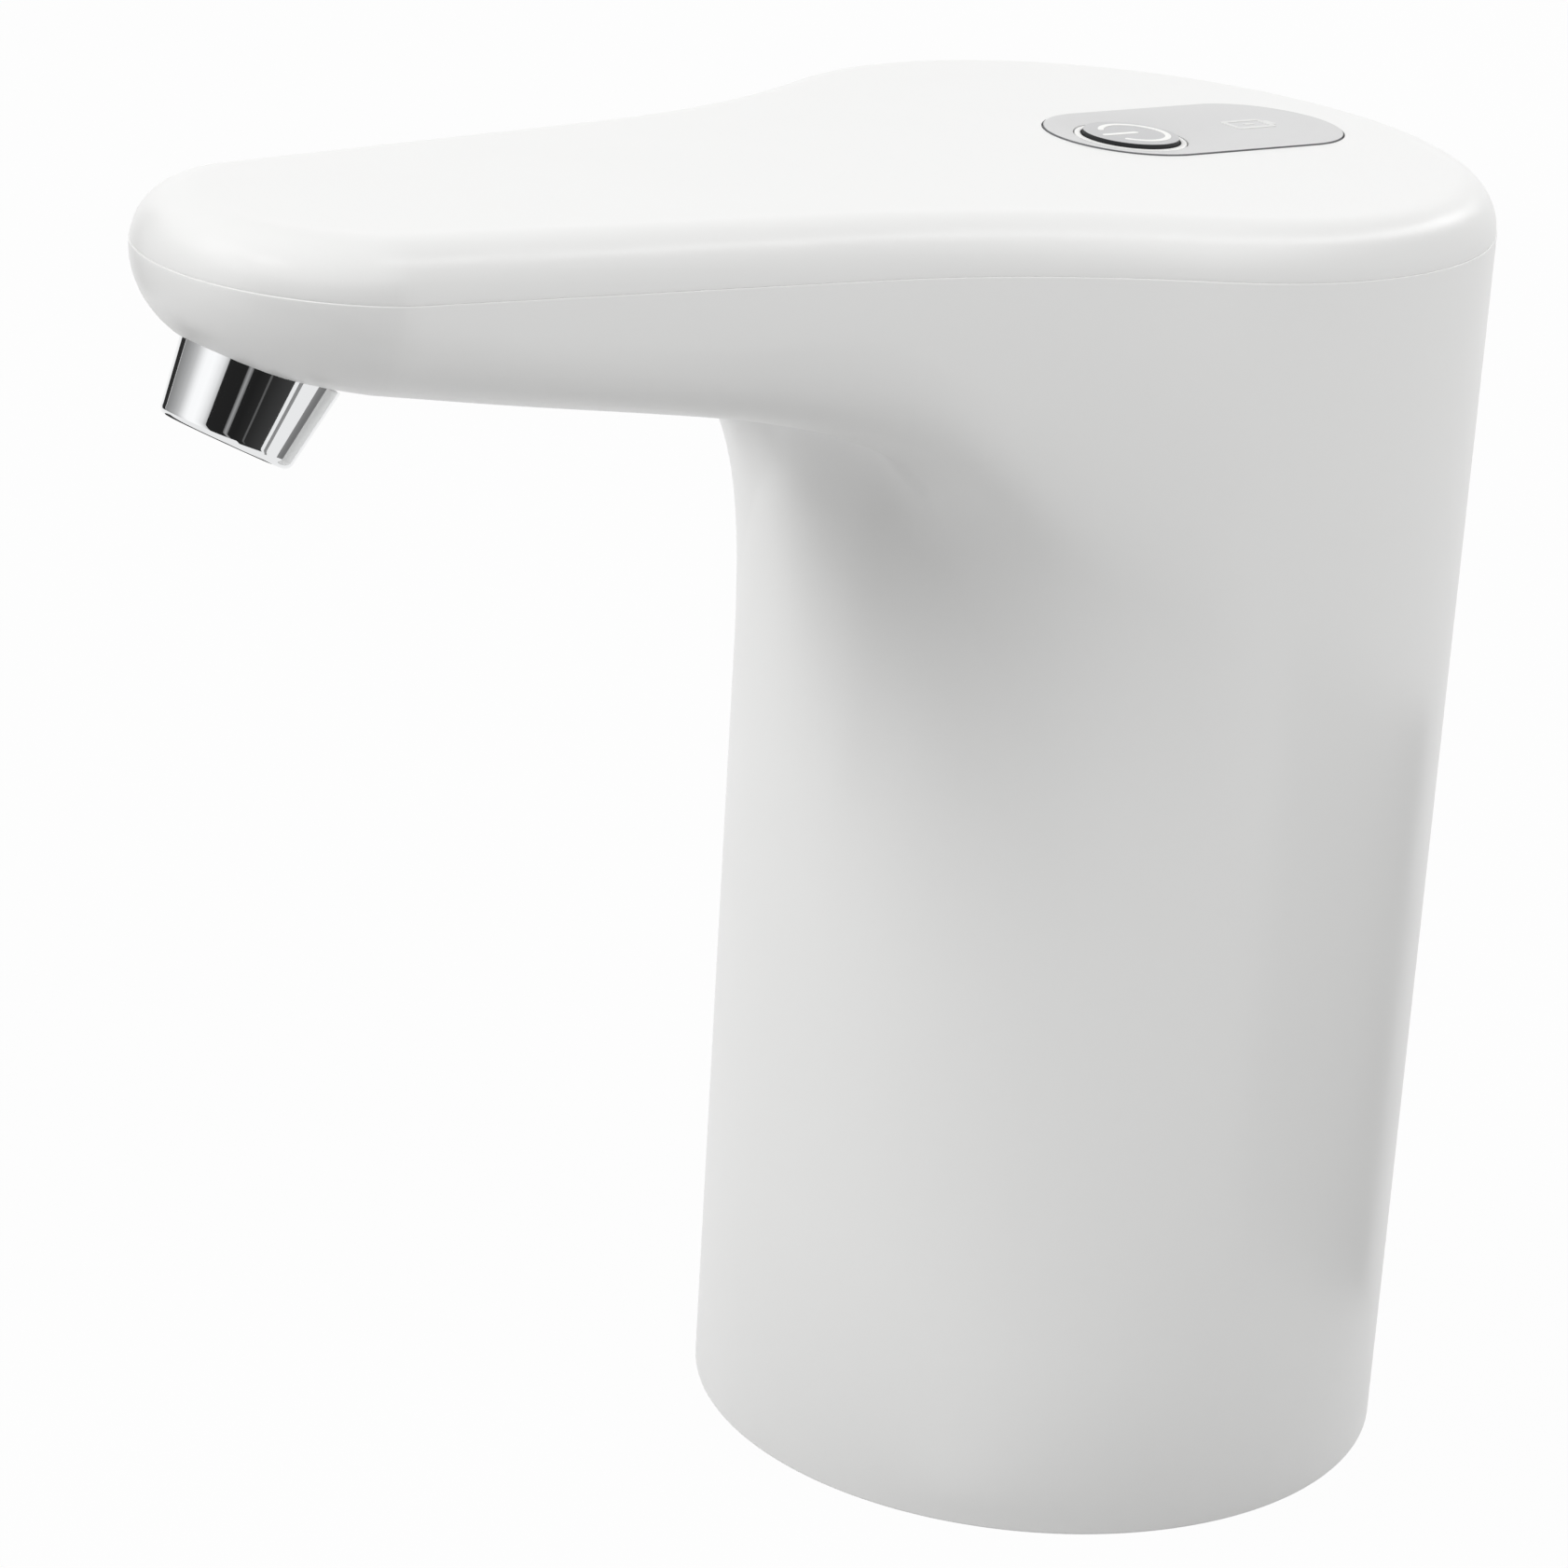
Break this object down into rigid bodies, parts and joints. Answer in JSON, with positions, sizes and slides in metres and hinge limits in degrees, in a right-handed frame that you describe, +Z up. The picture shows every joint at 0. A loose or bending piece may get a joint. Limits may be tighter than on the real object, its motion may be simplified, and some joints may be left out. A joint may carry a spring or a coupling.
{
  "type": "electric water jug pump",
  "caption": "Electric pump that sits on the neck of a water jug: white column, forward spout arm with a chrome nozzle, push button in a grey panel, gear pump, motor and cell inside.",
  "frame": {"origin": "centre of the base, on the axis of the neck socket", "axes": "+Z up along the neck axis, spout along -Y, X across"},
  "size_m": [0.0706, 0.1404, 0.1333],
  "materials": {
    "white_abs": "satin moulded",
    "panel_grey": "fine satin",
    "button_grey": "satin",
    "light_guide": "translucent white",
    "print_white": "printed",
    "chrome": "polished",
    "white_rubber": "matt silicone",
    "black_rubber": "matt",
    "grey_nylon": "moulded",
    "black_plastic": "moulded",
    "gear_acetal": "moulded",
    "steel": "bright",
    "brass": "bright",
    "iron": "sintered",
    "winding": "lacquered wire",
    "board_green": "solder mask",
    "cell_wrap": "shrink film"
  },
  "bodies": {
    "pump": {"body_shell": "white_abs", "top_cover": "white_abs", "control_panel": "panel_grey", "light_ring": "light_guide", "battery_icon": "print_white", "tact_switch": "black_plastic", "circuit_board": "board_green", "board_screws": "steel", "indicator_leds": "light_guide", "charge_socket": "steel", "neck_collar": "white_abs", "neck_sleeve": "white_rubber", "neck_gasket": "white_rubber", "floor_gasket": "white_rubber", "chassis": "white_abs", "chassis_screws": "steel", "inlet_spigot": "white_abs", "pump_cover": "grey_nylon", "pump_gasket": "black_rubber", "pump_housing": "grey_nylon", "pump_screws": "steel", "gear_arbor": "steel", "shaft_seal": "black_rubber", "motor_can": "steel", "motor_bushing": "brass", "field_magnets": "iron", "motor_end_cap": "white_abs", "motor_terminals": "brass", "motor_screws": "steel", "motor_damper": "black_rubber", "motor_strap": "steel", "strap_screws": "steel", "outlet_elbow": "white_abs", "outlet_hose": "white_rubber", "spout_elbow": "white_abs", "nozzle_oring": "black_rubber", "spout_nozzle": "chrome", "flow_insert": "black_plastic", "battery_cell": "cell_wrap", "battery_cradle": "black_plastic", "battery_contacts": "brass"},
    "button": {"power_button": "button_grey", "power_icon": "print_white", "switch_plunger": "black_plastic"},
    "rotor": {"rotor_shaft": "steel", "armature": "winding", "commutator": "brass", "drive_gear": "gear_acetal"},
    "idler": {"driven_gear": "gear_acetal"}
  },
  "joints": [
    {"name": "button_press", "type": "slide", "parent": "pump", "child": "button", "axis": [0, -0.0506, -0.9987], "range_m": [0, 0.0005], "stiffness_N_per_m": 400, "springref_m": -0.0005},
    {"name": "rotor_spin", "type": "hinge", "parent": "pump", "child": "rotor", "pos_m": [-0.0056, -0.006, 0.06], "axis": [0, 0, 1], "continuous": true},
    {"name": "idler_spin", "type": "hinge", "parent": "pump", "child": "idler", "pos_m": [0.0056, -0.006, 0.048], "axis": [0, 0, 1], "continuous": true}
  ],
  "couplings": [
    {"joint": "idler_spin", "follows": "rotor_spin", "ratio": -1}
  ]
}
